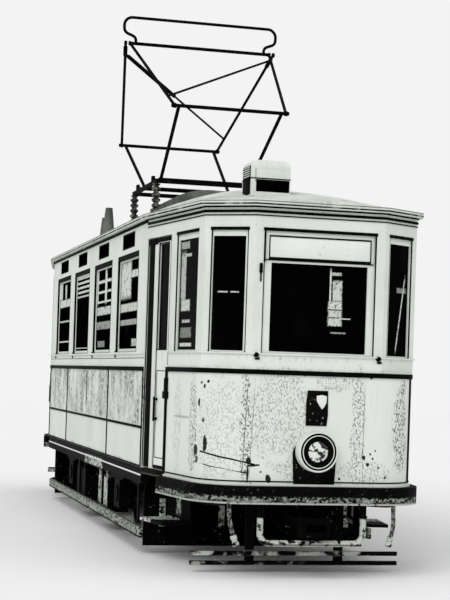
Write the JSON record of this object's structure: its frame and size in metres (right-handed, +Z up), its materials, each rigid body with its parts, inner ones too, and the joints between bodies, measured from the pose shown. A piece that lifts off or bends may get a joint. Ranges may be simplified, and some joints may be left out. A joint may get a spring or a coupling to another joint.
{
  "type": "two-axle electric motor tram",
  "caption": "Old European motor tram with faceted windows over a rounded dash, double-leaf platform doors, diamond pantograph, bumpers and life guards.",
  "frame": {"origin": "centre of the car's length and width, at the bottom of the wheel flanges", "axes": "+X forwards along the car, +Y to its left, +Z up"},
  "size_m": [8.72, 2.19, 5.1769],
  "materials": {
    "cream_paint": "weathered satin paint",
    "black_iron": "oily black paint",
    "black_steel": "dull black paint",
    "bright_steel": "worn steel",
    "window_glass": "clear",
    "timber": "bare weathered",
    "varnished_timber": "varnished",
    "roof_canvas": "matt painted canvas on boards",
    "white_board": "matt",
    "hose_rubber": "matt"
  },
  "bodies": {
    "car": {"sole_bars": "black_iron", "cross_members": "black_iron", "truck_beams": "black_iron", "panto_insulators": "black_iron", "door_pivots": "black_iron", "floors": "timber", "side_panels": "cream_paint", "side_pillars": "cream_paint", "letterboards": "cream_paint", "dashes": "cream_paint", "belt_rails": "cream_paint", "end_headers": "cream_paint", "end_posts": "cream_paint", "window_glass": "window_glass", "window_sashes": "cream_paint", "body_mouldings": "black_iron", "bulkheads": "varnished_timber", "roof": "roof_canvas", "sign_boxes": "cream_paint", "roof_fittings": "black_iron", "headlights": "cream_paint", "lamp_lenses": "window_glass", "destination_boards": "white_board", "bumpers": "black_iron", "couplers": "black_iron", "guard_frames": "black_iron", "life_guards": "black_iron", "brake_hoses": "hose_rubber", "truck_frames": "black_iron", "axleboxes": "black_iron", "traction_motors": "black_iron", "brake_gear": "black_iron", "side_guards": "timber", "equipment_boxes": "cream_paint", "entry_steps": "black_iron", "bench_seats": "varnished_timber", "controllers": "black_steel", "hand_brakes": "bright_steel", "panto_base": "black_steel"},
    "wheelset_front": {"wheelset_front": "bright_steel"},
    "wheelset_rear": {"wheelset_rear": "bright_steel"},
    "door_front_left": {"door_front_left": "cream_paint", "door_glass_front_left": "window_glass"},
    "narrow_door_front_left": {"narrow_door_front_left": "cream_paint"},
    "door_front_right": {"door_front_right": "cream_paint", "door_glass_front_right": "window_glass"},
    "narrow_door_front_right": {"narrow_door_front_right": "cream_paint"},
    "door_rear_left": {"door_rear_left": "cream_paint", "door_glass_rear_left": "window_glass"},
    "narrow_door_rear_left": {"narrow_door_rear_left": "cream_paint"},
    "door_rear_right": {"door_rear_right": "cream_paint", "door_glass_rear_right": "window_glass"},
    "narrow_door_rear_right": {"narrow_door_rear_right": "cream_paint"},
    "panto_lower_front": {"panto_lower_front": "black_steel"},
    "panto_lower_rear": {"panto_lower_rear": "black_steel"},
    "panto_upper_front": {"panto_upper_front": "black_steel"},
    "panto_upper_rear": {"panto_upper_rear": "black_steel"},
    "panto_bow": {"panto_bow": "black_steel"}
  },
  "joints": [
    {"name": "axle_front", "type": "hinge", "parent": "car", "child": "wheelset_front", "pos_m": [1.4, 0, 0.408], "axis": [0, 1, 0], "continuous": true},
    {"name": "axle_rear", "type": "hinge", "parent": "car", "child": "wheelset_rear", "pos_m": [-1.4, 0, 0.408], "axis": [0, 1, 0], "continuous": true},
    {"name": "door_front_left_hinge", "type": "hinge", "parent": "car", "child": "door_front_left", "pos_m": [3.31103, 0.93434, 1.7], "axis": [0, 0, 1], "range_deg": [0, 85]},
    {"name": "narrow_door_front_left_hinge", "type": "hinge", "parent": "car", "child": "narrow_door_front_left", "pos_m": [2.82611, 1.00952, 1.7], "axis": [0, 0, -1], "range_deg": [0, 80]},
    {"name": "door_front_right_hinge", "type": "hinge", "parent": "car", "child": "door_front_right", "pos_m": [3.31103, -0.93434, 1.7], "axis": [0, 0, -1], "range_deg": [0, 85]},
    {"name": "narrow_door_front_right_hinge", "type": "hinge", "parent": "car", "child": "narrow_door_front_right", "pos_m": [2.82611, -1.00952, 1.7], "axis": [0, 0, 1], "range_deg": [0, 80]},
    {"name": "door_rear_left_hinge", "type": "hinge", "parent": "car", "child": "door_rear_left", "pos_m": [-3.31103, 0.93434, 1.7], "axis": [0, 0, -1], "range_deg": [0, 85]},
    {"name": "narrow_door_rear_left_hinge", "type": "hinge", "parent": "car", "child": "narrow_door_rear_left", "pos_m": [-2.82611, 1.00952, 1.7], "axis": [0, 0, 1], "range_deg": [0, 80]},
    {"name": "door_rear_right_hinge", "type": "hinge", "parent": "car", "child": "door_rear_right", "pos_m": [-3.31103, -0.93434, 1.7], "axis": [0, 0, 1], "range_deg": [0, 85]},
    {"name": "narrow_door_rear_right_hinge", "type": "hinge", "parent": "car", "child": "narrow_door_rear_right", "pos_m": [-2.82611, -1.00952, 1.7], "axis": [0, 0, -1], "range_deg": [0, 80]},
    {"name": "panto_lower_front_hinge", "type": "hinge", "parent": "car", "child": "panto_lower_front", "pos_m": [0.39, 0, 3.47], "axis": [0, -1, 0], "range_deg": [-23, 9]},
    {"name": "panto_lower_rear_hinge", "type": "hinge", "parent": "car", "child": "panto_lower_rear", "pos_m": [-0.39, 0, 3.47], "axis": [0, 1, 0], "range_deg": [-23.5, 9.5]},
    {"name": "panto_upper_front_hinge", "type": "hinge", "parent": "panto_lower_front", "child": "panto_upper_front", "pos_m": [1.35, 0, 4.052], "axis": [0, 1, 0], "range_deg": [-38, 15]},
    {"name": "panto_upper_rear_hinge", "type": "hinge", "parent": "panto_lower_rear", "child": "panto_upper_rear", "pos_m": [-1.35, 0, 4.052], "axis": [0, -1, 0], "range_deg": [-38, 15]},
    {"name": "panto_bow_hinge", "type": "hinge", "parent": "panto_upper_front", "child": "panto_bow", "pos_m": [0, 0, 4.897], "axis": [0, -1, 0], "range_deg": [-15, 6]}
  ],
  "couplings": [
    {"joint": "panto_lower_rear_hinge", "follows": "panto_lower_front_hinge", "ratio": 1},
    {"joint": "panto_upper_front_hinge", "follows": "panto_lower_front_hinge", "ratio": 1.62},
    {"joint": "panto_upper_rear_hinge", "follows": "panto_lower_front_hinge", "ratio": 1.62},
    {"joint": "panto_bow_hinge", "follows": "panto_lower_front_hinge", "ratio": 0.62}
  ]
}
